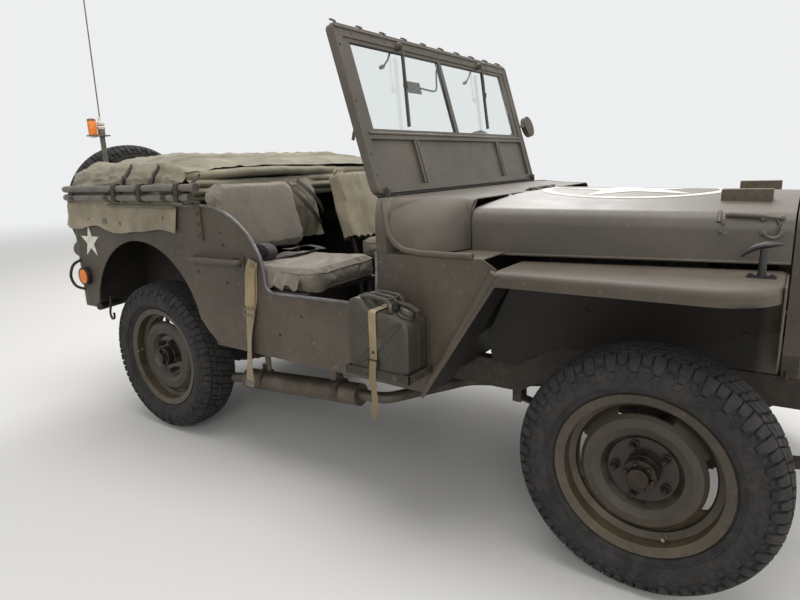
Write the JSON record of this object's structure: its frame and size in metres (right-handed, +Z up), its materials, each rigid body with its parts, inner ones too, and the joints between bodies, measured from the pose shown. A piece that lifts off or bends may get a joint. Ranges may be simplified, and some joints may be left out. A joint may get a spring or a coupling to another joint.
{
  "type": "open army 4x4 car",
  "caption": "Light open four-wheel-drive army car: channel frame, live axles, folding windshield, lifting hood, steering front wheels, folded canvas top, spare wheel.",
  "frame": {"origin": "On the ground under the middle of the car's overall length and width", "axes": "+X forward, +Y to the car's left, +Z up"},
  "size_m": [3.378, 1.662, 2.3451],
  "materials": {
    "antenna_steel": "enamel",
    "body_paint": "matt olive drab enamel, worn",
    "bow_tube": "enamel",
    "canvas": "cotton duck",
    "engine_iron": "painted casting",
    "exhaust_steel": "heat stained steel",
    "lamp_steel": "enamel",
    "strap_leather": "oiled",
    "tyre_rubber": "rubber",
    "wheel_rim_black": "matt",
    "window_glass": "clear",
    "wood_block": "painted wood"
  },
  "bodies": {
    "root": {"antenna": "antenna_steel", "body_fittings": "body_paint", "body_sides": "body_paint", "bow_straps": "strap_leather", "cowl": "body_paint", "cushions": "canvas", "dash": "body_paint", "engine": "engine_iron", "exhaust": "exhaust_steel", "fenders": "body_paint", "frame": "body_paint", "front_axle": "body_paint", "front_bumper": "body_paint", "fuel_tank": "body_paint", "gearbox": "body_paint", "grille": "body_paint", "jerrycan": "body_paint", "lamps": "lamp_steel", "radiator": "body_paint", "rear_axle": "body_paint", "rear_guards": "body_paint", "rear_panel": "body_paint", "seat_frames": "body_paint", "shafts": "body_paint", "spare_tyre": "tyre_rubber", "spare_wheel": "body_paint", "springs": "body_paint", "steering_column": "body_paint", "top_bows": "bow_tube", "top_canvas": "canvas", "tub_floor": "body_paint"},
    "hood": {"hood": "body_paint", "hood_blocks": "wood_block"},
    "windshield": {"windshield_frame": "body_paint", "windshield_sash": "body_paint", "windshield_glass": "window_glass", "mirror": "body_paint"},
    "steering_wheel": {"steering_wheel": "wheel_rim_black"},
    "knuckle_left": {"knuckle_left": "body_paint"},
    "knuckle_right": {"knuckle_right": "body_paint"},
    "wheel_front_left": {"tyre_front_left": "tyre_rubber", "wheel_front_left": "body_paint"},
    "wheel_front_right": {"tyre_front_right": "tyre_rubber", "wheel_front_right": "body_paint"},
    "wheel_rear_left": {"tyre_rear_left": "tyre_rubber", "wheel_rear_left": "body_paint"},
    "wheel_rear_right": {"tyre_rear_right": "tyre_rubber", "wheel_rear_right": "body_paint"}
  },
  "joints": [
    {"name": "hood_lift", "type": "hinge", "parent": "root", "child": "hood", "pos_m": [0.586, 0, 1.035], "axis": [0, -1, 0], "range_deg": [0, 128]},
    {"name": "windshield_fold", "type": "hinge", "parent": "root", "child": "windshield", "pos_m": [0.30534, 0, 1.05949], "axis": [0, -1, 0], "range_deg": [-105, 0]},
    {"name": "steer_left", "type": "hinge", "parent": "root", "child": "knuckle_left", "pos_m": [1.116, 0.502, 0.334], "axis": [0, 0, 1], "range_deg": [-27, 27]},
    {"name": "steer_right", "type": "hinge", "parent": "root", "child": "knuckle_right", "pos_m": [1.116, -0.502, 0.334], "axis": [0, 0, 1], "range_deg": [-27, 27]},
    {"name": "steering_wheel_turn", "type": "hinge", "parent": "root", "child": "steering_wheel", "pos_m": [0.07, 0.35, 1.08], "axis": [-0.8845, 0, 0.4665], "range_deg": [-379, 379]},
    {"name": "spin_front_left", "type": "hinge", "parent": "knuckle_left", "child": "wheel_front_left", "pos_m": [1.116, 0.611, 0.334], "axis": [0, 1, 0], "continuous": true},
    {"name": "spin_front_right", "type": "hinge", "parent": "knuckle_right", "child": "wheel_front_right", "pos_m": [1.116, -0.611, 0.334], "axis": [0, 1, 0], "continuous": true},
    {"name": "spin_rear_left", "type": "hinge", "parent": "root", "child": "wheel_rear_left", "pos_m": [-0.916, 0.611, 0.334], "axis": [0, 1, 0], "continuous": true},
    {"name": "spin_rear_right", "type": "hinge", "parent": "root", "child": "wheel_rear_right", "pos_m": [-0.916, -0.611, 0.334], "axis": [0, 1, 0], "continuous": true}
  ],
  "couplings": [
    {"joint": "steer_right", "follows": "steer_left", "ratio": 1},
    {"joint": "steering_wheel_turn", "follows": "steer_left", "ratio": 14}
  ]
}
